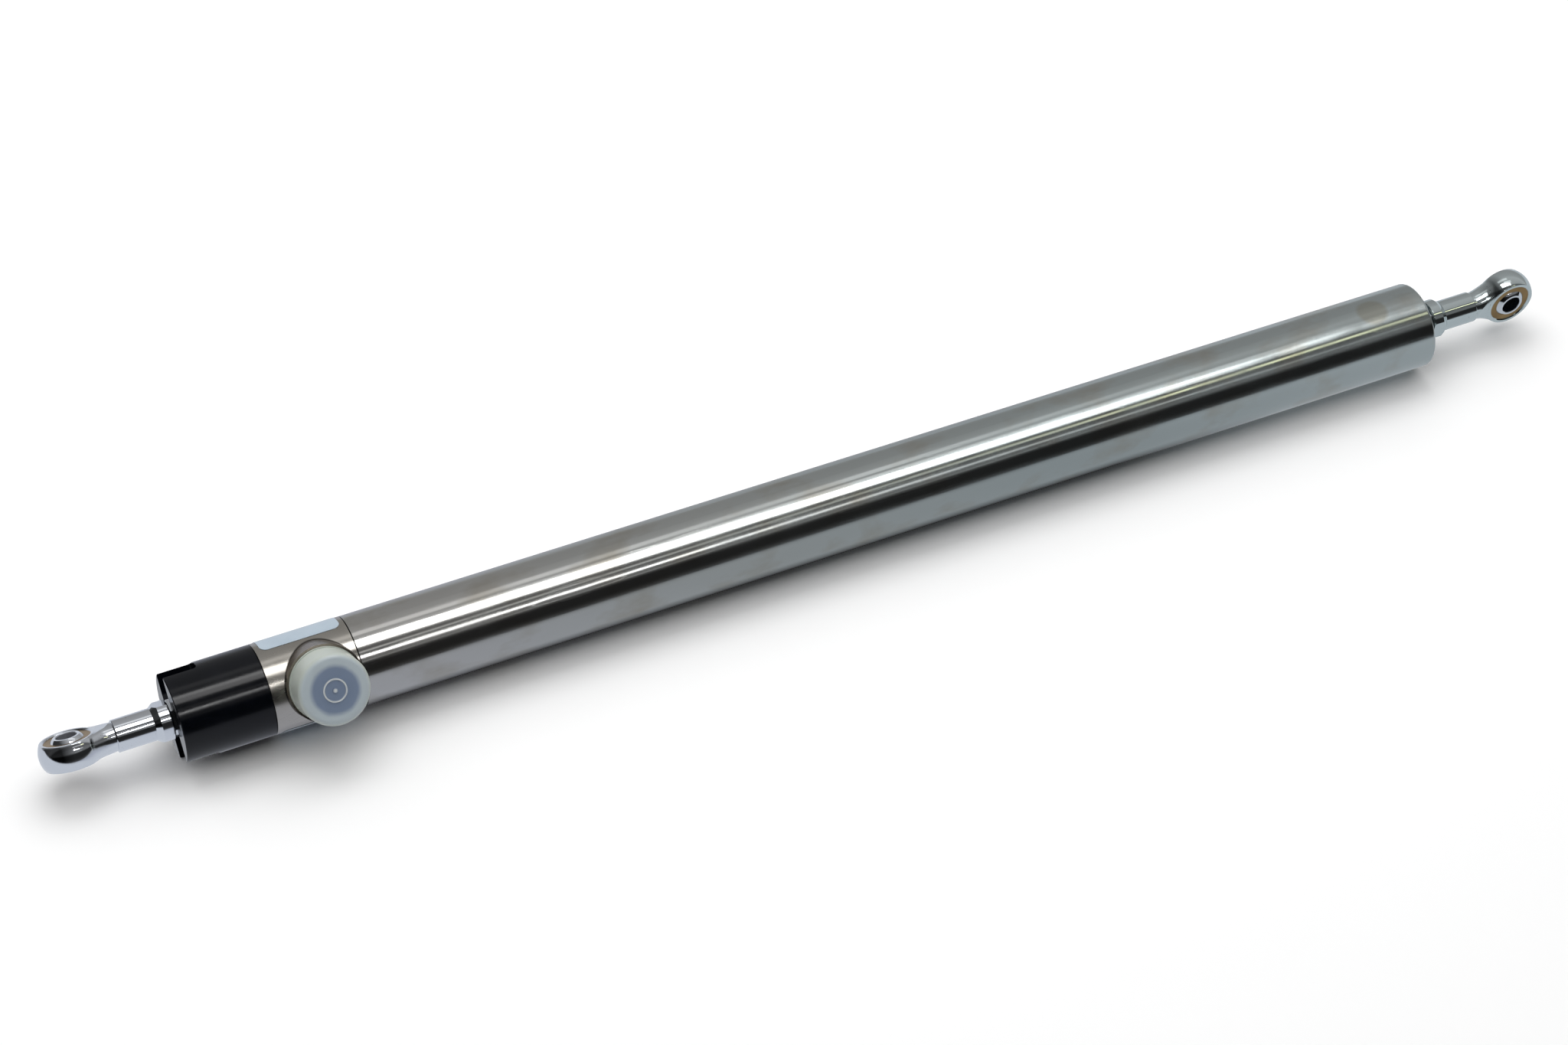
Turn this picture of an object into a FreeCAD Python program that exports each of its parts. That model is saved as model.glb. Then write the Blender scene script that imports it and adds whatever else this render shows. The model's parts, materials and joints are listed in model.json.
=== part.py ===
"""Inductive linear displacement transducer with a rod end at each end and a side connector.

The frame: X runs along the tube from the rear eye to the plunger's eye, Z is up,
and the origin is the centre of the rear eye's ball. All lengths are millimetres
and all angles are degrees. The angle of a bore, slot or receptacle is the angle of
its middle line about X, counted up from the horizontal that points along -Y.
"""
import FreeCAD, Part
import math
import os
from FreeCAD import Vector

# Barrel
barrel_radius = 18.0
head_gap = 0.7
head_length = 35.75
housing_length = 36.35
tube_wall = 1.5
tube_edge_radius = 1.4
seam_chamfer = 0.2

# Clearances
thread_clearance = 0.05
seat_clearance = 0.05
running_clearance = 0.04
soft_clearance = 0.3

# Rod ends, both alike
eye_radius = 12.0
eye_face_radius = 10.6
eye_width = 10.4
eye_rim_radius = 0.4
eye_mouth_chamfer = 0.4
rod_neck_start = 4.0
rod_neck_start_width = 22.2
rod_neck_start_height = 18.0
rod_neck_root = 7.0
rod_neck_root_width = 19.2
rod_neck_root_height = 16.0
rod_neck_waist = 10.0
rod_neck_waist_width = 15.8
rod_neck_waist_height = 14.0
rod_neck_middle = 13.0
rod_neck_middle_width = 13.0
rod_neck_middle_height = 12.5
rod_neck_middle_thickness = 10.4
rod_neck_thickness = 10.0
rod_neck_radius = 5.7
neck_reach = 17.1
shank_radius = 6.4
shank_edge_radius = 0.5
collar_start = 32.2
collar_full = 34.5
shank_reach = 39.0
collar_radius = 8.1
collar_flats = 14.0
collar_chamfer = 0.5
rod_thread_radius = 4.0
rod_thread_depth = 16.0
thread_end_gap = 0.5
race_radius = 9.0
race_width = 9.4
ball_radius = 7.9375
ball_width = 12.0
ball_bore_radius = 4.0
ball_bore_chamfer = 0.3
rear_bore_angle = 120.0
front_bore_angle = 174.0

# Jam nuts
nut_flats = 13.0
nut_thickness = 4.0
nut_corner_chamfer = 0.5

# Slotted head
slot_width = 13.2
slot_depth = 13.5
slot_corner_radius = 1.5
slot_angle = 126.5
head_edge_chamfer = 0.3
head_spigot_length = 9.0
head_spigot_wall = 3.5
head_cavity_depth = 12.0

# Connector housing
housing_socket_radius = 16.05
socket_end_gap = 0.5
housing_bore_radius = 14.0
housing_spigot_length = 8.0
oring_radius = 0.9
oring_groove_width = 2.4
oring_groove_offset = 3.0

# Receptacle, placed by the height above the tube's axis
connector_offset = 15.5
connector_angle = 31.4
foot_radius = 15.2
foot_top = 19.6
nose_radius = 11.5
nose_top = 31.2
nose_edge_chamfer = 0.6
neck_radius = 11.0
neck_bottom = 13.2
shell_bore_radius = 9.0
nose_seal_radius = 0.72
nose_seal_height = 1.5
insert_bottom = 15.0
insert_top = 28.5
pin_count = 6
pin_circle_radius = 5.2
pin_radius = 0.75
pin_top = 30.3
pin_bottom = 13.5

# Dust cap
cap_radius = 14.0
cap_top = 33.8
cap_front_wall = 1.8
cap_edge_radius = 2.0
cap_lip_radius = 14.35
cap_lip_height = 1.2
cap_ring_radius = 4.35
cap_ring_width = 0.5
cap_mark_height = 0.35
cap_nub_radius = 1.0

# Sticker
label_thickness = 0.15
label_margin_rear = 2.3
label_margin_front = 2.1
label_start_angle = 96.0
label_sweep_angle = 232.0
label_corner_radius = 3.0
label_glue = 0.01

# Board and its parts, placed by the height above the tube's axis
board_height = 4.0
board_thickness = 1.6
board_width = 21.0
board_rear_gap = 5.5
board_front_gap = 1.55
carrier_radius = 13.8
carrier_wall = 1.8
carrier_rear_gap = 2.05
carrier_front_gap = 3.3
pillar_radius = 2.4
screw_inset = 3.6
chip_length = 7.0
chip_width = 4.4
chip_height = 1.5
chip_count = 3
chip_pitch = 6.5
chip_inset = 5.5
capacitor_radius = 2.6
capacitor_height = 4.0
capacitor_pitch = 9.0
capacitor_inset = 13.5
inductor_radius = 2.9
inductor_height = 4.0
inductor_offset = 9.7
screw_head_radius = 1.7
screw_head_height = 1.2
screw_shank_radius = 0.95
screw_length = 4.5
lead_radius = 0.45
coil_lead_count = 4
coil_lead_pitch = 5.0
coil_lead_on_board = 6.0

# Coils
shield_wall = 1.2
shield_gap = 0.1
shield_rear_gap = 0.2
former_rear_gap = 3.7
former_radius = 7.5
former_flange_radius = 15.15
former_front_gap = 0.2
former_end_flange = 3.0
former_middle_flange = 2.0
coil_radius = 9.5
liner_radius = 5.5
liner_bore_radius = 5.0
liner_rear_gap = 1.2
liner_plug_length = 3.0
rear_stop_length = 2.0

# Plunger
stroke_length = 360.0
rod_radius = 4.0
rod_showing = 1.8
journal_radius = 3.0
retaining_nut_radius = 4.4
retaining_nut_length = 2.9
journal_tail = 0.5
rear_stop_gap = 1.3
guide_ring_length = 8.0
guide_end_play = 0.05
spacer_length = 3.0
spacer_radius = 4.6
armature_length = 60.0
armature_radius = 4.8

# Front end
front_plug_recess = 1.8
front_plug_length = 20.8
liner_socket_depth = 4.0
front_stop_gap = 0.4
front_stop_length = 5.8
bush_gap = 0.1
wiper_radius = 7.5
wiper_length = 3.9
wiper_washer_length = 1.0
clip_thickness = 1.2
clip_groove_depth = 0.45
clip_width = 2.6
clip_opening_angle = 24.0

# Places along X that follow from the lengths
head_x = shank_reach + head_gap
housing_x = head_x + head_length
tube_x = housing_x + housing_length
connector_x = tube_x - connector_offset
tube_bore_radius = barrel_radius - tube_wall
housing_spigot_radius = tube_bore_radius - seat_clearance
head_spigot_radius = housing_socket_radius - seat_clearance
head_cavity_radius = head_spigot_radius - head_spigot_wall
shield_radius = tube_bore_radius - shield_gap
former_bore_radius = liner_radius + seat_clearance
shield_x = tube_x + housing_spigot_length + shield_rear_gap
former_x = tube_x + housing_spigot_length + former_rear_gap
liner_x = tube_x + housing_spigot_length + liner_rear_gap
rear_stop_x = liner_x + liner_plug_length
journal_x = rear_stop_x + rear_stop_length + rear_stop_gap
retaining_nut_x = journal_x + journal_tail
guide_ring_x = retaining_nut_x + retaining_nut_length + guide_end_play
spacer_x = guide_ring_x + guide_ring_length + guide_end_play
armature_x = spacer_x + spacer_length
armature_end_x = armature_x + armature_length
front_stop_x = armature_end_x + stroke_length + front_stop_gap
liner_end_x = front_stop_x + front_stop_length
front_plug_x = liner_end_x - liner_socket_depth
front_plug_end_x = front_plug_x + front_plug_length
tube_end_x = front_plug_end_x + front_plug_recess
front_nut_x = tube_end_x + rod_showing
front_shank_x = front_nut_x + nut_thickness
front_eye_x = front_shank_x + shank_reach
board_x = head_x + head_length - head_cavity_depth + board_rear_gap
board_top = board_height + board_thickness
carrier_end_x = tube_x + housing_spigot_length - carrier_front_gap
carrier_x = housing_x + head_spigot_length + carrier_rear_gap
board_end_x = carrier_end_x - board_front_gap
chip_x = board_x + chip_inset
capacitor_x = board_x + capacitor_inset
inductor_x = connector_x + inductor_offset
former_end_x = front_plug_x - former_front_gap
former_middle_x = (former_x + former_end_x) / 2
bush_x = liner_end_x + bush_gap
wiper_washer_x = front_plug_end_x - wiper_washer_length
wiper_x = wiper_washer_x - wiper_length

ORIGIN = Vector(0, 0, 0)
ALONG_X = Vector(1, 0, 0)
ALONG_Z = Vector(0, 0, 1)
FAR = 60.0


def bar(x_from, x_to, radius):
    """Round bar about the tube's axis."""
    return Part.makeCylinder(radius, x_to - x_from, Vector(x_from, 0, 0), ALONG_X)


def ring(x_from, x_to, radius, bore):
    """Plain ring about the tube's axis."""
    return bar(x_from, x_to, radius).cut(bar(x_from, x_to, bore))


def turned(profile):
    """Solid turned about X from a closed outline of (x, radius) points."""
    points = [Vector(x, radius, 0) for x, radius in profile]
    face = Part.Face(Part.makePolygon(points + points[:1]))
    return face.revolve(ORIGIN, ALONG_X, 360)


def post(bottom, top, radius, x=0.0, y=0.0):
    """Round post along local Z."""
    return Part.makeCylinder(radius, top - bottom, Vector(x, y, bottom), ALONG_Z)


def centred_box(length, width, height, x=0.0, y=0.0, z=0.0):
    """Box centred in X and Y on (x, y), standing on the height z."""
    return Part.makeBox(length, width, height, Vector(x - length / 2, y - width / 2, z))


def edges_on_circle(shape, radius, x=None, z=None):
    """Round edges of one radius, at one place along X or along local Z."""
    found = []
    for edge in shape.Edges:
        if not isinstance(edge.Curve, Part.Circle):
            continue
        centre = edge.Curve.Center
        here = abs(centre.x - x) < 1e-6 if x is not None else abs(centre.z - z) < 1e-6
        if here and abs(edge.Curve.Radius - radius) < 1e-6:
            found.append(edge)
    return found


def aim(shape, angle, x=0.0):
    """Turns local Z to the given angle above the front horizontal and moves it along X."""
    shape.rotate(ORIGIN, ALONG_X, 90 - angle)
    shape.translate(Vector(x, 0, 0))
    return shape


def place_rod_end(shape, front):
    """Puts a rod-end piece, made about its eye with the bore along Z, at one end."""
    if front:
        shape.rotate(ORIGIN, ALONG_Z, 180)
        return aim(shape, front_bore_angle, front_eye_x)
    return aim(shape, rear_bore_angle)


def oval(x, width, height):
    """Closed oval across X, centred on the tube's axis."""
    centre = Vector(x, 0, 0)
    curve = Part.Ellipse(Vector(x, width / 2, 0), Vector(x, 0, height / 2), centre)
    return Part.Wire(curve.toShape())


def rod_end_body():
    """Forged crowned eye on a waisted neck and a round shank with a flatted collar and a thread."""
    half_width = eye_width / 2
    crown = Part.Arc(Vector(eye_face_radius, 0, -half_width), Vector(eye_radius, 0, 0),
                     Vector(eye_face_radius, 0, half_width)).toShape()
    faces = Part.makePolygon([Vector(eye_face_radius, 0, half_width), Vector(0, 0, half_width),
                              Vector(0, 0, -half_width), Vector(eye_face_radius, 0, -half_width)])
    eye = Part.Face(Part.Wire([crown] + faces.Edges)).revolve(ORIGIN, ALONG_Z, 360)
    rims = []
    for z in (-half_width, half_width):
        rims += edges_on_circle(eye, eye_face_radius, z=z)
    eye = eye.makeFillet(eye_rim_radius, rims)

    # The neck's last ovals are all but round, and the last one lies inside the shank
    inside_shank = neck_reach + 2 * shank_edge_radius
    round_width = 2 * rod_neck_radius
    nearly_round = 0.999 * round_width
    waist = Part.makeLoft([oval(rod_neck_start, rod_neck_start_width, rod_neck_start_height),
                           oval(rod_neck_root, rod_neck_root_width, rod_neck_root_height),
                           oval(rod_neck_waist, rod_neck_waist_width, rod_neck_waist_height),
                           oval(rod_neck_middle, rod_neck_middle_width, rod_neck_middle_height),
                           oval(neck_reach, round_width, nearly_round),
                           oval(inside_shank, round_width, nearly_round)], True)
    half_thickness = rod_neck_thickness / 2
    ramps = []
    for side_sign in (-1, 1):
        ramp = Part.Arc(Vector(rod_neck_root, -FAR, side_sign * half_thickness),
                        Vector(rod_neck_middle, -FAR, side_sign * rod_neck_middle_thickness / 2),
                        Vector(inside_shank, -FAR, side_sign * shank_radius)).toShape()
        ramps.append(ramp)
    front = Part.makePolygon([Vector(inside_shank, -FAR, -shank_radius), Vector(inside_shank, -FAR, shank_radius)])
    rear = Part.makePolygon([Vector(rod_neck_root, -FAR, half_thickness), Vector(0, -FAR, half_thickness),
                             Vector(0, -FAR, -half_thickness), Vector(rod_neck_root, -FAR, -half_thickness)])
    outline = Part.Wire([ramps[0]] + front.Edges + [ramps[1]] + rear.Edges)
    neck = waist.common(Part.Face(outline).extrude(Vector(0, 2 * FAR, 0)))

    shank = turned([(neck_reach, 0), (neck_reach, shank_radius),
                    (collar_start, shank_radius), (collar_full, collar_radius),
                    (shank_reach - collar_chamfer, collar_radius),
                    (shank_reach, collar_radius - collar_chamfer), (shank_reach, 0)])
    shank = shank.makeFillet(shank_edge_radius, edges_on_circle(shank, shank_radius, x=neck_reach))
    collar_middle = (collar_start + shank_reach) / 2
    for side_sign in (-1, 1):
        flat_centre = side_sign * (collar_flats / 2 + FAR / 2)
        shank = shank.cut(centred_box(shank_reach - collar_start, FAR, FAR, collar_middle, 0,
                                      flat_centre - FAR / 2))
    body = eye.fuse([neck, shank])
    seat_radius = race_radius + running_clearance / 2
    body = body.cut(post(-eye_width, eye_width, seat_radius))
    for side_sign in (-1, 1):
        mouth = Part.makeCone(seat_radius, seat_radius + eye_mouth_chamfer, eye_mouth_chamfer,
                              Vector(0, 0, side_sign * (half_width - eye_mouth_chamfer)),
                              Vector(0, 0, side_sign))
        body = body.cut(mouth)
    body = body.cut(bar(shank_reach - rod_thread_depth, shank_reach, rod_thread_radius))
    return body.removeSplitter()


def rod_end_race():
    """Ring whose bore is a hollow sphere."""
    race = post(-race_width / 2, race_width / 2, race_radius)
    return race.cut(Part.makeSphere(ball_radius + running_clearance))


def rod_end_ball():
    """Ball with two flat faces and a bore right through."""
    ball = Part.makeSphere(ball_radius).common(post(-ball_width / 2, ball_width / 2, ball_radius))
    ball = ball.cut(post(-ball_width, ball_width, ball_bore_radius))
    for side_sign in (-1, 1):
        mouth = Part.makeCone(ball_bore_radius, ball_bore_radius + ball_bore_chamfer, ball_bore_chamfer,
                              Vector(0, 0, side_sign * (ball_width / 2 - ball_bore_chamfer)),
                              Vector(0, 0, side_sign))
        ball = ball.cut(mouth)
    return ball


def jam_nut(x, corner_angle):
    """Thin hexagon nut with chamfered edges, one pair of corners along the given angle."""
    corner_radius = nut_flats / 2 / math.cos(math.radians(30))
    corners = []
    for index in range(6):
        angle = math.radians(60 * index + 30)
        corners.append(Vector(0, corner_radius * math.cos(angle), corner_radius * math.sin(angle)))
    hexagon = Part.Face(Part.makePolygon(corners + corners[:1])).extrude(Vector(nut_thickness, 0, 0))
    dome = turned([(0, 0), (0, corner_radius - nut_corner_chamfer),
                   (nut_corner_chamfer / 2, corner_radius), (nut_thickness - nut_corner_chamfer / 2,
                   corner_radius), (nut_thickness, corner_radius - nut_corner_chamfer),
                   (nut_thickness, 0)])
    nut = hexagon.common(dome).cut(bar(0, nut_thickness, rod_thread_radius))
    return aim(nut, corner_angle, x)


def oring_groove(x, outer_radius):
    """Ring-shaped space of an O-ring groove."""
    floor_radius = outer_radius - 2 * oring_radius - seat_clearance
    return ring(x, x + oring_groove_width, outer_radius + oring_radius, floor_radius)


def oring(x, bore_radius):
    """O-ring that just clears the bore it seals, in the middle of its groove."""
    centre = Vector(x + oring_groove_width / 2, 0, 0)
    return Part.makeTorus(bore_radius - oring_radius - seat_clearance / 2, oring_radius, centre, ALONG_X)


def slotted_head():
    """Turned head with a slot right across its rear end and a spigot at its front."""
    spigot_end = housing_x + head_spigot_length
    head = turned([(head_x, 0), (head_x, barrel_radius - head_edge_chamfer),
                   (head_x + head_edge_chamfer, barrel_radius),
                   (housing_x - seam_chamfer, barrel_radius), (housing_x, barrel_radius - seam_chamfer),
                   (housing_x, head_spigot_radius), (spigot_end, head_spigot_radius), (spigot_end, 0)])
    slot_end = head_x + slot_depth
    slot = centred_box(slot_depth, slot_width, 2 * FAR, head_x + slot_depth / 2, 0, -FAR)
    corners = [edge for edge in slot.Edges if edge.Length > FAR
               and all(abs(vertex.X - slot_end) < 1e-6 for vertex in edge.Vertexes)]
    slot = slot.makeFillet(slot_corner_radius, corners)
    head = head.cut(aim(slot, slot_angle))
    cavity_x = housing_x - head_cavity_depth
    head = head.cut(bar(cavity_x, spigot_end, head_cavity_radius))
    head = head.cut(bar(head_x, cavity_x, rod_thread_radius))
    return head.cut(oring_groove(housing_x + oring_groove_offset, head_spigot_radius))


def rear_stud():
    """Threaded stud from the head's cavity into the rear rod end."""
    start = shank_reach - rod_thread_depth + thread_end_gap
    return bar(start, housing_x - head_cavity_depth, rod_thread_radius - thread_clearance)


def connector_housing():
    """Sleeve with a socket for the head, a spigot for the tube and a hole for the receptacle."""
    socket_end = housing_x + head_spigot_length + socket_end_gap
    spigot_end = tube_x + housing_spigot_length
    sleeve = turned([(housing_x, housing_socket_radius), (housing_x, barrel_radius - seam_chamfer),
                     (housing_x + seam_chamfer, barrel_radius), (tube_x - seam_chamfer, barrel_radius),
                     (tube_x, barrel_radius - seam_chamfer), (tube_x, housing_spigot_radius),
                     (spigot_end, housing_spigot_radius), (spigot_end, housing_bore_radius),
                     (socket_end, housing_bore_radius), (socket_end, housing_socket_radius)])
    hole = aim(post(0, FAR, neck_radius + seat_clearance), connector_angle, connector_x)
    return sleeve.cut(hole).cut(oring_groove(tube_x + oring_groove_offset, housing_spigot_radius))


def connector_shell():
    """Receptacle: a round foot saddled on the housing, a neck through it and a bored nose."""
    foot = post(0, foot_top, foot_radius)
    foot = foot.cut(bar(-FAR, FAR, barrel_radius + seat_clearance / 2))
    nose = post(foot_top, nose_top, nose_radius)
    nose = nose.makeChamfer(nose_edge_chamfer, edges_on_circle(nose, nose_radius, z=nose_top))
    neck = post(neck_bottom, foot_top, neck_radius)
    shell = foot.fuse([nose, neck]).cut(post(0, FAR, shell_bore_radius))
    groove_bottom = nose_radius - 2 * nose_seal_radius - seat_clearance
    groove = post(foot_top, foot_top + nose_seal_height, nose_radius + nose_seal_radius)
    groove = groove.cut(post(foot_top, foot_top + nose_seal_height, groove_bottom))
    return aim(shell.cut(groove).removeSplitter(), connector_angle, connector_x)


def connector_seal():
    """O-ring at the root of the nose."""
    centre = Vector(0, 0, foot_top + nose_seal_height / 2)
    middle_radius = nose_radius - nose_seal_radius - seat_clearance / 2
    seal = Part.makeTorus(middle_radius, nose_seal_radius, centre, ALONG_Z)
    return aim(seal, connector_angle, connector_x)


def pin_places():
    """Places of the contact pins across the insert."""
    places = []
    for index in range(pin_count):
        angle = math.radians(360 / pin_count * (index + 0.5))
        places.append((pin_circle_radius * math.cos(angle), pin_circle_radius * math.sin(angle)))
    return places


def contact_insert():
    """Insulating body with a hole for each pin."""
    insert = post(insert_bottom, insert_top, shell_bore_radius - seat_clearance)
    for x, y in pin_places():
        insert = insert.cut(post(0, FAR, pin_radius + seat_clearance / 2, x, y))
    return aim(insert, connector_angle, connector_x)


def contact_pins():
    """Equal round pins."""
    pins = [post(pin_bottom, pin_top, pin_radius, x, y) for x, y in pin_places()]
    return aim(Part.makeCompound(pins), connector_angle, connector_x)


def connector_leads():
    """Short straight wires from the pins' tails to the board."""
    leads = [post(board_top, pin_bottom, lead_radius, x, y) for x, y in pin_places()]
    return aim(Part.makeCompound(leads), connector_angle, connector_x)


def dust_cap():
    """Soft moulded cup with a rounded front edge, a lip and a small ring and nub on its face."""
    rim = foot_top + soft_clearance
    cap = post(rim, cap_top, cap_radius)
    cap = cap.makeFillet(cap_edge_radius, edges_on_circle(cap, cap_radius, z=cap_top))
    lip = post(rim, rim + cap_lip_height, cap_lip_radius)
    mark_top = cap_top + cap_mark_height
    mark = post(cap_top, mark_top, cap_ring_radius + cap_ring_width / 2)
    mark = mark.cut(post(cap_top, mark_top, cap_ring_radius - cap_ring_width / 2))
    cap = cap.fuse([lip, mark, post(cap_top, mark_top, cap_nub_radius)])
    cap = cap.cut(post(rim, cap_top - cap_front_wall, nose_radius + soft_clearance))
    return aim(cap.removeSplitter(), connector_angle, connector_x)


def bare_label():
    """Thin sticker bent round the housing, with rounded corners."""
    inner = barrel_radius + label_glue
    outer = inner + label_thickness
    x_from = housing_x + label_margin_rear
    x_to = tube_x - label_margin_front
    section = [Vector(x_from, 0, inner), Vector(x_to, 0, inner), Vector(x_to, 0, outer),
               Vector(x_from, 0, outer)]
    label = Part.Face(Part.makePolygon(section + section[:1])).revolve(ORIGIN, ALONG_X * -1, label_sweep_angle)
    corner_turn = math.degrees(label_corner_radius / outer)
    corner_block = 2 * label_corner_radius
    for x, inward in ((x_from, 1), (x_to, -1)):
        for turn, outward in ((corner_turn, -1), (label_sweep_angle - corner_turn, 1)):
            corner = centred_box(corner_block, corner_block, FAR, -inward * corner_block / 2,
                                 outward * corner_block / 2)
            corner = corner.cut(post(0, FAR, label_corner_radius))
            corner.translate(Vector(x + inward * label_corner_radius, 0, 0))
            corner.rotate(ORIGIN, ALONG_X, -turn)
            label = label.cut(corner)
    return aim(label, label_start_angle)


def screw_places():
    """Places of the board's screws along X."""
    return (carrier_x + screw_inset, carrier_end_x - screw_inset)


def board_carrier():
    """Moulded cradle: a half-round trough with end walls and two screw pillars."""
    above = centred_box(2 * FAR, FAR, FAR, carrier_x, 0, board_height)
    outside = bar(carrier_x, carrier_end_x, carrier_radius).cut(above)
    inside_radius = carrier_radius - carrier_wall
    inside = bar(carrier_x + carrier_wall, carrier_end_x - carrier_wall, inside_radius)
    pillars = [post(-inside_radius, board_height, pillar_radius, x).common(outside) for x in screw_places()]
    carrier = outside.cut(inside).fuse(pillars)
    screw_bottom = board_top - screw_length - seat_clearance
    for x in screw_places():
        carrier = carrier.cut(post(screw_bottom, FAR, screw_shank_radius + seat_clearance, x))
    return aim(carrier, connector_angle)


def circuit_board():
    """Flat board with two screw holes."""
    board = centred_box(board_end_x - board_x, board_width, board_thickness,
                        (board_x + board_end_x) / 2, 0, board_height)
    for x in screw_places():
        board = board.cut(post(0, FAR, screw_shank_radius + seat_clearance, x))
    return aim(board, connector_angle)


def board_chips():
    """Equal flat chips in a row across the board's rear end."""
    chips = []
    for index in range(chip_count):
        y = (index - (chip_count - 1) / 2) * chip_pitch
        chips.append(centred_box(chip_length, chip_width, chip_height, chip_x, y, board_top))
    return aim(Part.makeCompound(chips), connector_angle)


def board_capacitors():
    """Two upright round capacitors."""
    cans = []
    for side_sign in (-1, 1):
        cans.append(post(board_top, board_top + capacitor_height, capacitor_radius, capacitor_x,
                         side_sign * capacitor_pitch / 2))
    return aim(Part.makeCompound(cans), connector_angle)


def board_inductor():
    """Round shielded coil in front of the receptacle's pins."""
    can = post(board_top, board_top + inductor_height, inductor_radius, inductor_x)
    return aim(can, connector_angle)


def board_screws():
    """Two equal screws that hold the board on the cradle's pillars."""
    screws = []
    for x in screw_places():
        head = post(board_top, board_top + screw_head_height, screw_head_radius, x)
        screws.append(head.fuse(post(board_top - screw_length, board_top, screw_shank_radius, x)))
    return aim(Part.makeCompound(screws), connector_angle)


def coil_leads():
    """Equal straight wires from the board's front end to the bobbin's rear flange."""
    start = board_end_x - coil_lead_on_board
    leads = []
    for index in range(coil_lead_count):
        y = (index - (coil_lead_count - 1) / 2) * coil_lead_pitch
        leads.append(Part.makeCylinder(lead_radius, former_x - start,
                                       Vector(start, y, board_top + lead_radius), ALONG_X))
    return aim(Part.makeCompound(leads), connector_angle)


def coil_former():
    """Bobbin with an end flange at each end and one in the middle."""
    half_middle = former_middle_flange / 2
    return turned([(former_x, former_bore_radius), (former_x, former_flange_radius),
                   (former_x + former_end_flange, former_flange_radius),
                   (former_x + former_end_flange, former_radius),
                   (former_middle_x - half_middle, former_radius),
                   (former_middle_x - half_middle, former_flange_radius),
                   (former_middle_x + half_middle, former_flange_radius),
                   (former_middle_x + half_middle, former_radius),
                   (former_end_x - former_end_flange, former_radius),
                   (former_end_x - former_end_flange, former_flange_radius),
                   (former_end_x, former_flange_radius), (former_end_x, former_bore_radius)])


def coil(x_from, x_to):
    """Winding between two flanges."""
    return ring(x_from, x_to, coil_radius, former_radius + thread_clearance)


def outer_tube():
    """Plain tube with a rounded front edge and a groove for the retaining ring."""
    tube = bar(tube_x, tube_end_x, barrel_radius)
    tube = tube.makeFillet(tube_edge_radius, edges_on_circle(tube, barrel_radius, x=tube_end_x))
    tube = tube.makeChamfer(seam_chamfer, edges_on_circle(tube, barrel_radius, x=tube_x))
    tube = tube.cut(bar(tube_x, tube_end_x, tube_bore_radius))
    groove_end = front_plug_end_x + clip_thickness + seat_clearance
    return tube.cut(bar(front_plug_end_x, groove_end, tube_bore_radius + clip_groove_depth))


def plunger_rod():
    """Rod with a thin journal at the rear and a thread at the front."""
    thread_end = front_shank_x + rod_thread_depth - thread_end_gap
    thread_radius = rod_thread_radius - thread_clearance
    return turned([(journal_x, 0), (journal_x, journal_radius), (armature_end_x, journal_radius),
                   (armature_end_x, rod_radius), (front_nut_x, rod_radius),
                   (front_nut_x, thread_radius), (thread_end, thread_radius), (thread_end, 0)])


def front_plug():
    """Turned plug with a bore for liner and bush and a counterbore for the wiper."""
    return turned([(front_plug_x, liner_radius + seat_clearance), (front_plug_x, housing_spigot_radius),
                   (front_plug_end_x, housing_spigot_radius),
                   (front_plug_end_x, wiper_radius + seat_clearance),
                   (wiper_x, wiper_radius + seat_clearance), (wiper_x, liner_radius + seat_clearance)])


def front_clip():
    """Open retaining ring that sits in the tube's groove."""
    clip_radius = tube_bore_radius + clip_groove_depth - seat_clearance
    clip = ring(front_plug_end_x, front_plug_end_x + clip_thickness, clip_radius, clip_radius - clip_width)
    half_opening = clip_radius * math.sin(math.radians(clip_opening_angle / 2))
    gap = centred_box(FAR, 2 * half_opening, FAR, front_plug_end_x, 0, -FAR)
    return clip.cut(gap)


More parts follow.
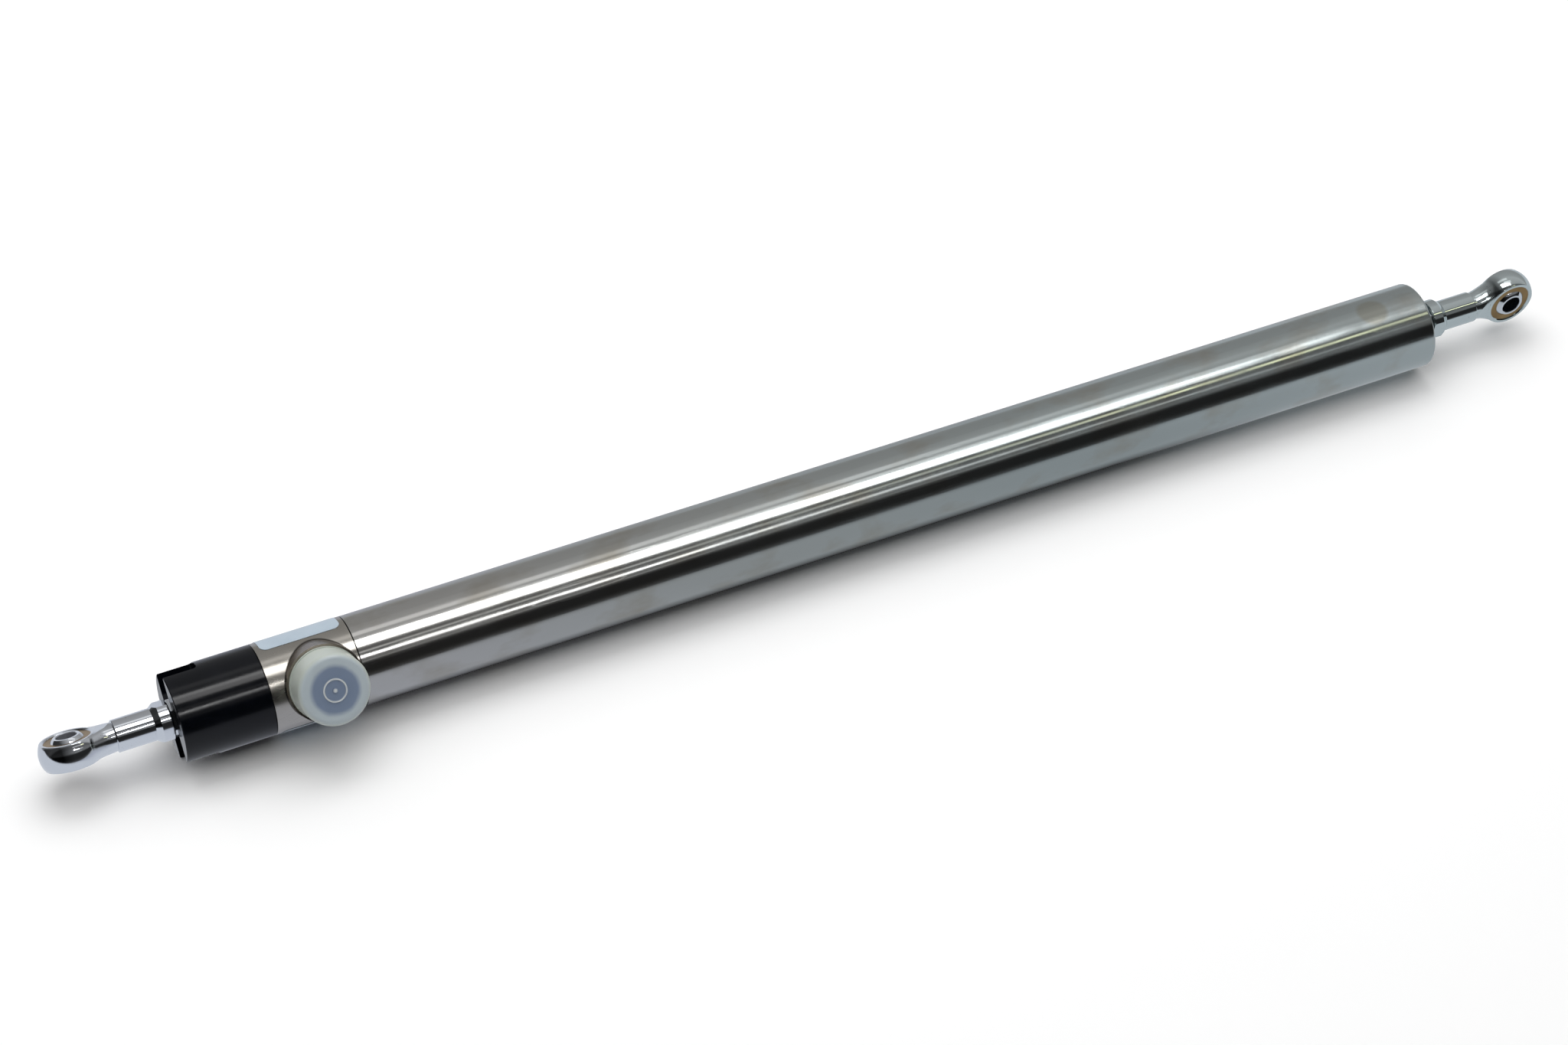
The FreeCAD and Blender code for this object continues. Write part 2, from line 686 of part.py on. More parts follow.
def all_nodes():
    """Makes every piece, under the name of its node."""
    nodes = {}
    for name, front in (("rear", False), ("front", True)):
        nodes[name + "_rod_end"] = place_rod_end(rod_end_body(), front)
        nodes[name + "_race"] = place_rod_end(rod_end_race(), front)
        nodes[name + "_ball"] = place_rod_end(rod_end_ball(), front)
    nodes["rear_jam_nut"] = jam_nut(shank_reach, slot_angle)
    nodes["front_jam_nut"] = jam_nut(front_nut_x, front_bore_angle)
    nodes["rear_stud"] = rear_stud()
    nodes["slotted_head"] = slotted_head()
    nodes["head_seal"] = oring(housing_x + oring_groove_offset, housing_socket_radius)
    nodes["connector_housing"] = connector_housing()
    nodes["housing_seal"] = oring(tube_x + oring_groove_offset, tube_bore_radius)
    nodes["connector_shell"] = connector_shell()
    nodes["connector_seal"] = connector_seal()
    nodes["contact_insert"] = contact_insert()
    nodes["contact_pins"] = contact_pins()
    nodes["connector_leads"] = connector_leads()
    nodes["dust_cap"] = dust_cap()
    nodes["bare_label"] = bare_label()
    nodes["board_carrier"] = board_carrier()
    nodes["circuit_board"] = circuit_board()
    nodes["board_chips"] = board_chips()
    nodes["board_capacitors"] = board_capacitors()
    nodes["board_inductor"] = board_inductor()
    nodes["board_screws"] = board_screws()
    nodes["coil_leads"] = coil_leads()
    nodes["coil_former"] = coil_former()
    nodes["rear_coil"] = coil(former_x + former_end_flange, former_middle_x - former_middle_flange / 2)
    nodes["front_coil"] = coil(former_middle_x + former_middle_flange / 2, former_end_x - former_end_flange)
    nodes["magnetic_shield"] = ring(shield_x, front_plug_x, shield_radius, shield_radius - shield_wall)
    nodes["outer_tube"] = outer_tube()
    nodes["liner_tube"] = ring(liner_x, liner_end_x, liner_radius, liner_bore_radius)
    nodes["liner_plug"] = bar(liner_x, rear_stop_x, liner_bore_radius - seat_clearance)
    nodes["rear_stop"] = bar(rear_stop_x, rear_stop_x + rear_stop_length, liner_bore_radius - seat_clearance)
    nodes["plunger_rod"] = plunger_rod()
    nodes["retaining_nut"] = ring(retaining_nut_x, retaining_nut_x + retaining_nut_length,
                                  retaining_nut_radius, journal_radius + running_clearance / 2)
    nodes["guide_ring"] = ring(guide_ring_x, guide_ring_x + guide_ring_length,
                               liner_bore_radius - running_clearance, journal_radius + running_clearance)
    nodes["armature_spacer"] = ring(spacer_x, armature_x, spacer_radius,
                                    journal_radius + running_clearance / 2)
    nodes["armature"] = ring(armature_x, armature_end_x, armature_radius,
                             journal_radius + running_clearance / 2)
    nodes["front_stop"] = ring(front_stop_x, liner_end_x, liner_bore_radius - seat_clearance,
                               rod_radius + soft_clearance)
    nodes["front_plug"] = front_plug()
    nodes["front_bush"] = ring(bush_x, wiper_x - seat_clearance, liner_radius,
                               rod_radius + running_clearance)
    nodes["rod_wiper"] = ring(wiper_x, wiper_washer_x, wiper_radius, rod_radius + running_clearance)
    nodes["wiper_washer"] = ring(wiper_washer_x, front_plug_end_x, wiper_radius,
                                 rod_radius + soft_clearance)
    nodes["front_clip"] = front_clip()
    return nodes


os.makedirs("parts", exist_ok=True)
for node, shape in all_nodes().items():
    shape.exportStep("parts/" + node + ".step")
    state = "valid" if shape.isValid() else "NOT VALID"
    print(node, len(shape.Solids), "solids", round(shape.Volume, 1), "mm3", state)
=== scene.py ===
"""Dressed model of a tubular displacement transducer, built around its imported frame.

The object lies level on a pale floor: a ground steel tube with a black anodised slotted
head at its rear, a capped side receptacle on the housing between them, and a bright rod
end at each end. Lengths named in millimetres are turned to metres where they are used.
"""

import json
import logging
import math
from dataclasses import dataclass, field
from enum import Enum

import bmesh
import bpy
from mathutils import Matrix, Vector


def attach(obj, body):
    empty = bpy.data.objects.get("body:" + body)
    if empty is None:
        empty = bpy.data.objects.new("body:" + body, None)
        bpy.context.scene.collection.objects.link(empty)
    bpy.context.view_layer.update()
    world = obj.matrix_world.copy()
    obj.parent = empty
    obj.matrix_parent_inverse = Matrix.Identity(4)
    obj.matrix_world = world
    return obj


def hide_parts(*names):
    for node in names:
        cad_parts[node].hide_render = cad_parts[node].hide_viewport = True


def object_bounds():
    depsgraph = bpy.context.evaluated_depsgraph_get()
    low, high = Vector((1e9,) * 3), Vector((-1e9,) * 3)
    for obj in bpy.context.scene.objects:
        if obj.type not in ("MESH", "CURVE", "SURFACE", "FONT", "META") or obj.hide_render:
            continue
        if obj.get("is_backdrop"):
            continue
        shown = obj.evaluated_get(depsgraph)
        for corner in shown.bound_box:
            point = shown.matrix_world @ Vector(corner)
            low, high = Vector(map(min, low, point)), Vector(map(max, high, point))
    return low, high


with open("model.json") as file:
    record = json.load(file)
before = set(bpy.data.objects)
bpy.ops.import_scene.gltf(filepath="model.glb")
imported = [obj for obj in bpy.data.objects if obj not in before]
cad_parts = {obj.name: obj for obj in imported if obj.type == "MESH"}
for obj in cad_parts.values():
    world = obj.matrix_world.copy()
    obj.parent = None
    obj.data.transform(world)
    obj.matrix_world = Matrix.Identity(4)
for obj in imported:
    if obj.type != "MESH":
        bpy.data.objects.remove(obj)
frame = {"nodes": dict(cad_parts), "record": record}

LOG = logging.getLogger("transducer")
MM = 0.001
SHARP_ANGLE = math.radians(32.0)
QUARTER_TURN = 0.25
HOUSING_X_MM = 75.45
TUBE_X_MM = 111.8
FRONT_EYE_X_MM = 631.4
CONNECTOR_CENTRE = (96.3 * MM, 0.0, 0.0)
CONNECTOR_ANGLE = math.radians(31.4)
CONNECTOR_AXIS = (0.0, -math.cos(CONNECTOR_ANGLE), math.sin(CONNECTOR_ANGLE))
STAIN_CENTRE = (562.5 * MM, -2.7 * MM, 17.8 * MM)
MIX_FIRST, MIX_SECOND, MIX_RESULT = 6, 7, 2
"""Sockets of the colour mixing node."""
WAVES_A_UNIT = 20 / math.tau
"""Waves that a wave texture of scale 1 draws along one metre."""
WHITE_POWER = 4.0
"""Power in watts of each square metre of a lamp whose face is as bright as white."""

Pair = tuple[float, float]
Triple = tuple[float, float, float]


class Body(Enum):
    """The rigid bodies that pieces ride on."""

    BARREL = "barrel"
    REAR_SWIVEL = "rear_swivel"
    GUIDE = "guide"
    PLUNGER = "plunger"
    FRONT_SWIVEL = "front_swivel"
    CAP = "cap"


def linear(hex_code: str) -> tuple[float, float, float, float]:
    """Turns an sRGB hex colour into linear light.

    Args:
        hex_code: six hex digits, such as "C8C4BC".

    Returns:
        Red, green, blue and an alpha of 1.
    """
    channels = [int(hex_code[start:start + 2], 16) / 255 for start in (0, 2, 4)]
    red, green, blue = [c / 12.92 if c <= 0.04045 else ((c + 0.055) / 1.055) ** 2.4 for c in channels]
    return red, green, blue, 1.0


def metres(pair_mm: Pair) -> Pair:
    """Turns two lengths from millimetres to metres."""
    return pair_mm[0] * MM, pair_mm[1] * MM


def add_node(tree: bpy.types.NodeTree, kind: str, settings: dict | None = None,
             links: dict | None = None) -> bpy.types.Node:
    """Adds one shader node.

    Args:
        tree: the tree that gets the node.
        kind: Blender's type name of the node.
        settings: attributes of the node, or values of its inputs, by name or index.
        links: output sockets that feed its inputs, by name or index.

    Returns:
        The new node.
    """
    node = tree.nodes.new(kind)
    for key, value in (settings or {}).items():
        if isinstance(key, str) and hasattr(node, key):
            setattr(node, key, value)
        else:
            node.inputs[key].default_value = value
    for key, socket in (links or {}).items():
        tree.links.new(socket, node.inputs[key])
    return node


@dataclass(frozen=True)
class Finish:
    """A surface: its plain values, and a pattern that a subclass may add."""

    name: str
    colour: str
    metallic: float = 0.0
    roughness: float = 0.5
    ior: float = 1.5
    coat: float = 0.0
    transmission: float = 0.0
    anisotropy: float = 0.0

    def pattern(self, tree: bpy.types.NodeTree, shader: bpy.types.Node) -> None:
        """Adds the surface's own detail to its shader.

        Args:
            tree: the material's node tree.
            shader: its principled shader.
        """

    def material(self) -> bpy.types.Material:
        """Makes the material.

        Returns:
            A material with its shader, pattern and output.
        """
        made = bpy.data.materials.new(self.name)
        made.use_nodes = True
        tree = made.node_tree
        tree.nodes.clear()
        shader = add_node(tree, "ShaderNodeBsdfPrincipled", {
            "Base Color": linear(self.colour), "Metallic": self.metallic, "Roughness": self.roughness,
            "IOR": self.ior, "Coat Weight": self.coat, "Transmission Weight": self.transmission,
            "Anisotropic": self.anisotropy, "Anisotropic Rotation": QUARTER_TURN if self.anisotropy else 0.0})
        add_node(tree, "ShaderNodeOutputMaterial", links={"Surface": shader.outputs["BSDF"]})
        self.pattern(tree, shader)
        return made


def object_place(tree: bpy.types.NodeTree) -> bpy.types.NodeSocket:
    """Gives each point's place on the object, in metres."""
    return add_node(tree, "ShaderNodeTexCoord").outputs["Object"]


def along_bar(tree: bpy.types.NodeTree) -> bpy.types.NodeSocket:
    """Gives each point's place along the tube, in metres."""
    axes = add_node(tree, "ShaderNodeSeparateXYZ", links={"Vector": object_place(tree)})
    return axes.outputs["X"]


def reach_from_axis(tree: bpy.types.NodeTree, centre: Triple, axis: Triple) -> bpy.types.NodeSocket:
    """Gives how far each point lies from an axis.

    Args:
        tree: the material's node tree.
        centre: a point of the axis, in metres.
        axis: its direction, as a vector of length 1.

    Returns:
        The socket of the distance, in metres.
    """
    offset = add_node(tree, "ShaderNodeVectorMath", {"operation": "SUBTRACT", 1: centre},
                      {0: object_place(tree)})
    across = add_node(tree, "ShaderNodeVectorMath", {"operation": "CROSS_PRODUCT", 1: axis},
                      {0: offset.outputs["Vector"]})
    reach = add_node(tree, "ShaderNodeVectorMath", {"operation": "LENGTH"}, {0: across.outputs["Vector"]})
    return reach.outputs["Value"]


def combine(tree: bpy.types.NodeTree, operation: str, first: bpy.types.NodeSocket | float,
            second: bpy.types.NodeSocket | float) -> bpy.types.NodeSocket:
    """Does one sum with two values.

    Args:
        tree: the node tree.
        operation: Blender's name of the sum.
        first: a socket or a number.
        second: a socket or a number.

    Returns:
        The socket of the result.
    """
    made = add_node(tree, "ShaderNodeMath", {"operation": operation})
    for socket, value in zip(made.inputs, (first, second)):
        if isinstance(value, bpy.types.NodeSocket):
            tree.links.new(value, socket)
        else:
            socket.default_value = value
    return made.outputs["Value"]


def gap_to(tree: bpy.types.NodeTree, value: bpy.types.NodeSocket, target: float) -> bpy.types.NodeSocket:
    """Gives how far a value lies from a target, on either side.

    Args:
        tree: the node tree.
        value: what is compared.
        target: where the gap is zero.

    Returns:
        The socket of the gap.
    """
    offset = combine(tree, "SUBTRACT", value, target)
    gap = add_node(tree, "ShaderNodeMath", {"operation": "ABSOLUTE"}, {0: offset})
    return gap.outputs["Value"]


def remap(tree: bpy.types.NodeTree, value: bpy.types.NodeSocket, span: Pair,
          onto: Pair = (0.0, 1.0)) -> bpy.types.NodeSocket:
    """Stretches one range of a value onto another, and holds the ends beyond it.

    Args:
        tree: the node tree.
        value: what is stretched.
        span: the two values that are stretched.
        onto: what they become.

    Returns:
        The socket of the stretched value.
    """
    made = add_node(tree, "ShaderNodeMapRange", {
        "From Min": span[0], "From Max": span[1], "To Min": onto[0], "To Max": onto[1]}, {"Value": value})
    return made.outputs["Result"]


def blend(tree: bpy.types.NodeTree, factor: bpy.types.NodeSocket, first: bpy.types.NodeSocket | str,
          second: str, span: Pair = (0.0, 1.0)) -> bpy.types.NodeSocket:
    """Mixes two colours by a factor that is first stretched between two values.

    Args:
        tree: the node tree.
        factor: what drives the mix.
        first: the colour, or the socket of a colour, at the span's first value.
        second: the hex colour at the span's second value.
        span: values of the factor that give the first and the second colour alone.

    Returns:
        The socket of the mixed colour.
    """
    mix = add_node(tree, "ShaderNodeMix", {"data_type": "RGBA"}, {0: remap(tree, factor, span)})
    if isinstance(first, str):
        mix.inputs[MIX_FIRST].default_value = linear(first)
    else:
        tree.links.new(first, mix.inputs[MIX_FIRST])
    mix.inputs[MIX_SECOND].default_value = linear(second)
    return mix.outputs[MIX_RESULT]


@dataclass(frozen=True)
class Grain:
    """A noise whose grain has a real size, stretched, turned and shifted over the object."""

    size_mm: float
    octaves: float = 2.0
    stretch: Triple = (1.0, 1.0, 1.0)
    turn: Triple = (0.0, 0.0, 0.0)
    shift: Triple = (0.0, 0.0, 0.0)

    def lay(self, tree: bpy.types.NodeTree) -> bpy.types.NodeSocket:
        """Adds the noise to a material.

        Args:
            tree: the material's node tree.

        Returns:
            The socket of the noise's value.
        """
        mapped = add_node(tree, "ShaderNodeMapping",
                          {"Scale": self.stretch, "Rotation": self.turn, "Location": self.shift},
                          {"Vector": object_place(tree)})
        made = add_node(tree, "ShaderNodeTexNoise", {
            "Scale": 1 / (self.size_mm * MM), "Detail": self.octaves}, {"Vector": mapped.outputs["Vector"]})
        return made.outputs["Fac"]


@dataclass(frozen=True)
class Lines:
    """Even lines across X at a real pitch, such as turning marks or the sections of a winding."""

    pitch_mm: float
    distortion: float
    octaves: float = 2.0
    stretch: Triple = (1.0, 1.0, 1.0)

    def lay(self, tree: bpy.types.NodeTree) -> bpy.types.NodeSocket:
        """Adds the lines to a material.

        Args:
            tree: the material's node tree.

        Returns:
            The socket of a value that rises and falls once per line.
        """
        mapped = add_node(tree, "ShaderNodeMapping", {"Scale": self.stretch}, {"Vector": object_place(tree)})
        made = add_node(tree, "ShaderNodeTexWave", {
            "wave_type": "BANDS", "bands_direction": "X", "Scale": 1 / (self.pitch_mm * MM * WAVES_A_UNIT),
            "Distortion": self.distortion, "Detail": self.octaves}, {"Vector": mapped.outputs["Vector"]})
        return made.outputs["Fac"]


def bump(tree: bpy.types.NodeTree, shader: bpy.types.Node, height: bpy.types.NodeSocket,
         depth_mm: float, strength: float = 1.0,
         under: bpy.types.NodeSocket | None = None) -> bpy.types.NodeSocket:
    """Lets a height pattern bend the light on a surface.

    Args:
        tree: the material's node tree.
        shader: the shader that gets the bent normal.
        height: the pattern, from 0 to 1.
        depth_mm: what a height of 1 stands for, in millimetres.
        strength: how much of it shows.
        under: the normal of a bump that lies under this one.

    Returns:
        The socket of the bent normal.
    """
    links = {"Height": height}
    if under:
        links["Normal"] = under
    made = add_node(tree, "ShaderNodeBump", {"Distance": depth_mm * MM, "Strength": strength}, links)
    tree.links.new(made.outputs["Normal"], shader.inputs["Normal"])
    return made.outputs["Normal"]


@dataclass(frozen=True)
class GroundStainless(Finish):
    """Centreless-ground stainless steel: grinding rings, here coarse enough to show, and handling marks."""

    rings: Grain = Grain(0.42, 3.0, (1.0, 0.012, 0.012))
    ring_depth_mm: float = 0.0016
    clouds: Grain = Grain(26.0, 4.0, (1.0, 1.6, 1.6))
    cloud_span: Pair = (0.50, 0.85)
    warm: str = "A9A396"
    cool: str = "B8C0C0"
    cool_span_mm: Pair = (140.0, 400.0)
    smears: Grain = Grain(9.0, 5.0, (0.35, 1.0, 1.0), shift=(0.3, 0.1, 0.2))
    smear_span: Pair = (0.35, 0.75)
    rough: Pair = (0.13, 0.25)
    seams_mm: tuple[float, ...] = ()
    # painted shade: the dark colour laid into each seam groove
    painted_seam_shade: str = "1A1714"
    seam_edge_mm: Pair = (0.3, 0.12)
    scratches: Grain = Grain(2.6, 1.0, (0.05, 1.0, 1.0), (0.0, 0.10, 0.06))
    scratch_level: float = 0.62
    scratch_half_width: float = 0.006
    scratch_depth_mm: float = 0.004
    stain_at: Triple | None = None
    stain_edge_mm: Pair = (7.4, 5.6)
    stain: str = "AEB0A8"

    def pattern(self, tree: bpy.types.NodeTree, shader: bpy.types.Node) -> None:
        """Adds grinding rings, smudges, hair scratches, painted shade in the seams and an optional round
        stain.

        Args:
            tree: the material's node tree.
            shader: its principled shader.
        """
        place = along_bar(tree)
        colour = blend(tree, place, self.colour, self.cool, metres(self.cool_span_mm))
        colour = blend(tree, self.clouds.lay(tree), colour, self.warm, self.cloud_span)
        if self.stain_at:
            gap = add_node(tree, "ShaderNodeVectorMath", {"operation": "DISTANCE", 1: self.stain_at},
                           {0: object_place(tree)})
            colour = blend(tree, gap.outputs["Value"], colour, self.stain, metres(self.stain_edge_mm))
        colour = self.paint_seam_shade(tree, place, colour)
        tree.links.new(colour, shader.inputs["Base Color"])
        rough = remap(tree, self.smears.lay(tree), self.smear_span, self.rough)
        tree.links.new(rough, shader.inputs["Roughness"])
        ground = bump(tree, shader, self.rings.lay(tree), self.ring_depth_mm)
        bump(tree, shader, self.hair_scratches(tree), self.scratch_depth_mm, under=ground)
        round_bar = add_node(tree, "ShaderNodeTangent", {"direction_type": "RADIAL", "axis": "X"})
        tree.links.new(round_bar.outputs["Tangent"], shader.inputs["Tangent"])

    def paint_seam_shade(self, tree: bpy.types.NodeTree, place: bpy.types.NodeSocket,
                    colour: bpy.types.NodeSocket) -> bpy.types.NodeSocket:
        """Paints shade into narrow bands round the bar, in the grooves where two pieces meet.

        Args:
            tree: the material's node tree.
            place: each point's place along the bar, in metres.
            colour: the colour so far.

        Returns:
            The socket of the colour with its painted seam shade.
        """
        for seam_mm in self.seams_mm:
            # painted shade: a dark band in the groove at each seam
            colour = blend(tree, gap_to(tree, place, seam_mm * MM), colour, self.painted_seam_shade,
                           metres(self.seam_edge_mm))
        return colour

    def hair_scratches(self, tree: bpy.types.NodeTree) -> bpy.types.NodeSocket:
        """Draws long thin lines where a stretched noise crosses one level.

        Args:
            tree: the material's node tree.

        Returns:
            The socket of a height that is 1 on a scratch and 0 elsewhere.
        """
        gap = gap_to(tree, self.scratches.lay(tree), self.scratch_level)
        return remap(tree, gap, (self.scratch_half_width, 0.0))


@dataclass(frozen=True)
class HousingSteel(GroundStainless):
    """Fine-turned stainless steel of the housing, softer than the tube, with painted shade round the
    receptacle's foot.
    """

    foot_edge_mm: Pair = (15.65, 15.2)

    def paint_seam_shade(self, tree: bpy.types.NodeTree, place: bpy.types.NodeSocket,
                    colour: bpy.types.NodeSocket) -> bpy.types.NodeSocket:
        """Paints shade into the seams and into a narrow line round the receptacle's foot.

        Args:
            tree: the material's node tree.
            place: each point's place along the bar, in metres.
            colour: the colour so far.

        Returns:
            The socket of the colour with its dark lines.
        """
        colour = super().paint_seam_shade(tree, place, colour)
        reach = reach_from_axis(tree, CONNECTOR_CENTRE, CONNECTOR_AXIS)
        # painted shade: a dark line where the receptacle's foot meets the housing
        return blend(tree, reach, colour, self.painted_seam_shade, metres(self.foot_edge_mm))


@dataclass(frozen=True)
class TurnedAnodising(Finish):
    """Black anodised aluminium over uneven turning marks, which are drawn coarse enough to show."""

    turning: Lines = Lines(3.456, 0.6, stretch=(1.0, 0.02, 0.02))
    turning_depth_mm: float = 0.0034
    turning_strength: float = 0.6
    chatter: Grain = Grain(0.6, 3.0, (1.0, 0.05, 0.05))
    chatter_depth_mm: float = 0.00544
    chatter_strength: float = 0.9
    patches: Grain = Grain(5.0, 3.0)
    patch_span: Pair = (0.3, 0.75)
    patch_rough: Pair = (0.85, 1.2)
    sheen_span: Pair = (0.4, 0.9)
    sheen_patch: str = "080A11"

    def pattern(self, tree: bpy.types.NodeTree, shader: bpy.types.Node) -> None:
        """Adds the turning marks and patches of uneven gloss.

        Args:
            tree: the material's node tree.
            shader: its principled shader.
        """
        turned = bump(tree, shader, self.turning.lay(tree), self.turning_depth_mm, self.turning_strength)
        bump(tree, shader, self.chatter.lay(tree), self.chatter_depth_mm, self.chatter_strength, turned)
        patches = self.patches.lay(tree)
        low, high = self.patch_rough
        rough = remap(tree, patches, self.patch_span, (self.roughness * low, self.roughness * high))
        tree.links.new(rough, shader.inputs["Roughness"])
        tree.links.new(blend(tree, patches, self.colour, self.sheen_patch, self.sheen_span),
                       shader.inputs["Base Color"])


@dataclass(frozen=True)
class BrightPlate(Finish):
    """Bright plate over forged or ground steel: a mirror with soft waves, and a few pits."""

    waves: Grain = Grain(4.5, 1.0)
    wave_depth_mm: float = 0.004
    haze: Grain = Grain(6.0, 4.0, shift=(0.2, 0.4, 0.1))
    haze_span: Pair = (0.35, 0.75)
    haze_rough: Pair = (0.7, 1.7)
    pits: Grain = Grain(0.9, shift=(0.5, 0.5, 0.5))
    pit_span: Pair = (0.72, 0.80)
    pit: str = "4A4742"

    def rounding(self, tree: bpy.types.NodeTree) -> bpy.types.NodeSocket | None:
        """Gives the normal under the waves, where a finish has one of its own.

        Args:
            tree: the material's node tree.

        Returns:
            The socket of the normal, or nothing for the mesh's own.
        """
        return None

    def pattern(self, tree: bpy.types.NodeTree, shader: bpy.types.Node) -> None:
        """Adds the waves, a slight haze and tiny pits.

        Args:
            tree: the material's node tree.
            shader: its principled shader.
        """
        bump(tree, shader, self.waves.lay(tree), self.wave_depth_mm, under=self.rounding(tree))
        low, high = self.haze_rough
        rough = remap(tree, self.haze.lay(tree), self.haze_span,
                      (self.roughness * low, self.roughness * high))
        tree.links.new(rough, shader.inputs["Roughness"])
        tree.links.new(blend(tree, self.pits.lay(tree), self.colour, self.pit, self.pit_span),
                       shader.inputs["Base Color"])


@dataclass(frozen=True)
class PlatedForging(BrightPlate):
    """Bright plate over a forged rod end, whose neck flows out of the eye in a soft hollow."""

    eye_x_mm: float = 0.0
    hollow_middle_mm: float = 9.75
    hollow_half_mm: float = 3.75
    hollow_fade_mm: float = 1.5
    hollow_radius_mm: float = 2.2
    edge_radius_mm: float = 0.12
    rounding_samples: int = 8

    def rounding(self, tree: bpy.types.NodeTree) -> bpy.types.NodeSocket:
        """Rounds the corner between eye and neck, and takes the sharpness off the other edges.

        Args:
            tree: the material's node tree.

        Returns:
            The socket of the rounded normal.
        """
        reach = gap_to(tree, along_bar(tree), self.eye_x_mm * MM)
        gap = gap_to(tree, reach, self.hollow_middle_mm * MM)
        radius = remap(tree, gap, metres((self.hollow_half_mm - self.hollow_fade_mm, self.hollow_half_mm)),
                       metres((self.hollow_radius_mm, self.edge_radius_mm)))
        rounded = add_node(tree, "ShaderNodeBevel", {"samples": self.rounding_samples}, {"Radius": radius})
        return rounded.outputs["Normal"]


@dataclass(frozen=True)
class Mottled(Finish):
    """A plain surface with fine grain and a slightly uneven colour, as moulded, cast or plated."""

    grain: Grain = Grain(0.4)
    grain_depth_mm: float = 0.006
    clouds: Grain = Grain(8.0, 3.0)
    cloud_span: Pair = (0.35, 0.95)
    shade: str = "808080"

    def pattern(self, tree: bpy.types.NodeTree, shader: bpy.types.Node) -> None:
        """Adds the grain and the uneven colour.

        Args:
            tree: the material's node tree.
            shader: its principled shader.
        """
        tree.links.new(blend(tree, self.clouds.lay(tree), self.colour, self.shade, self.cloud_span),
                       shader.inputs["Base Color"])
        bump(tree, shader, self.grain.lay(tree), self.grain_depth_mm)


@dataclass(frozen=True)
class WoundWire(Finish):
    """Enamelled copper wire wound in narrow sections along X."""

    sections: Lines = Lines(3.77, 0.3)
    section_depth_mm: float = 0.12
    gap: str = "3A1C0E"
    gap_span: Pair = (0.0, 0.5)

    def pattern(self, tree: bpy.types.NodeTree, shader: bpy.types.Node) -> None:
        """Adds the sections as bands across X.

        Args:
            tree: the material's node tree.
            shader: its principled shader.
        """
        bands = self.sections.lay(tree)
        tree.links.new(blend(tree, bands, self.gap, self.colour, self.gap_span), shader.inputs["Base Color"])
        bump(tree, shader, bands, self.section_depth_mm)


@dataclass(frozen=True)
class SoftPolythene(Finish):
    """Low-density polythene, milky and partly see-through, with the dark opening behind its thin face painted
    into its colour.
    """

    behind: str = "94A5BF"
    behind_edge_mm: Pair = (8.4, 10.3)
    wander: Grain = Grain(7.0, shift=(0.1, 0.3, 0.2))
    wander_mm: float = 1.4
    face_ring: str = "D8E4EA"
    face_edge_mm: Pair = (12.6, 13.9)
    mark: str = "F4F8F8"
    mark_reach_mm: float = 4.35
    mark_edge_mm: Pair = (0.42, 0.21)
    nub_edge_mm: Pair = (1.0, 0.4)
    flow: Grain = Grain(5.0)
    flow_depth_mm: float = 0.02

    def pattern(self, tree: bpy.types.NodeTree, shader: bpy.types.Node) -> None:
        """Adds a painted see-through, a dark disc where the opening behind shows through the face, then the
        milky rim and the pale ring mark.

        Args:
            tree: the material's node tree.
            shader: its principled shader.
        """
        reach = reach_from_axis(tree, CONNECTOR_CENTRE, CONNECTOR_AXIS)
        wander = add_node(tree, "ShaderNodeMath", {
            "operation": "MULTIPLY_ADD", 1: self.wander_mm * MM, 2: -self.wander_mm / 2 * MM},
            {0: self.wander.lay(tree)})
        uneven = combine(tree, "ADD", reach, wander.outputs["Value"])
        # painted see-through: the dark colour of the opening behind is painted into the face
        colour = blend(tree, uneven, self.behind, self.face_ring, metres(self.behind_edge_mm))
        colour = blend(tree, reach, colour, self.colour, metres(self.face_edge_mm))
        colour = blend(tree, gap_to(tree, reach, self.mark_reach_mm * MM), colour, self.mark,
                       metres(self.mark_edge_mm))
        colour = blend(tree, reach, colour, self.mark, metres(self.nub_edge_mm))
        tree.links.new(colour, shader.inputs["Base Color"])
        bump(tree, shader, self.flow.lay(tree), self.flow_depth_mm)


@dataclass(frozen=True)
class SwivelBall(BrightPlate):
    """Hard-chromed ball whose bore is dull and not metallic, with painted shade: a darker colour inside the
    bore.
    """

    bore_centre_x_mm: float = 0.0
    bore_angle: float = 120.0
    bore_edge_mm: Pair = (4.10, 4.25)
    bore: str = "14181F"

    def pattern(self, tree: bpy.types.NodeTree, shader: bpy.types.Node) -> None:
        """Adds the plate's detail, and ends the plate at the bore, whose colour is painted shade.

        Args:
            tree: the material's node tree.
            shader: its principled shader.
        """
        super().pattern(tree, shader)
        turn = math.radians(self.bore_angle)
        reach = reach_from_axis(tree, (self.bore_centre_x_mm * MM, 0.0, 0.0),
                                (0.0, -math.cos(turn), math.sin(turn)))
        plated = remap(tree, reach, metres(self.bore_edge_mm))
        tree.links.new(plated, shader.inputs["Metallic"])
        plate = shader.inputs["Base Color"].links[0].from_socket
        # painted shade: the bore colour darkens the inside of the bore
        tree.links.new(blend(tree, plated, plate, self.bore, (1.0, 0.0)), shader.inputs["Base Color"])


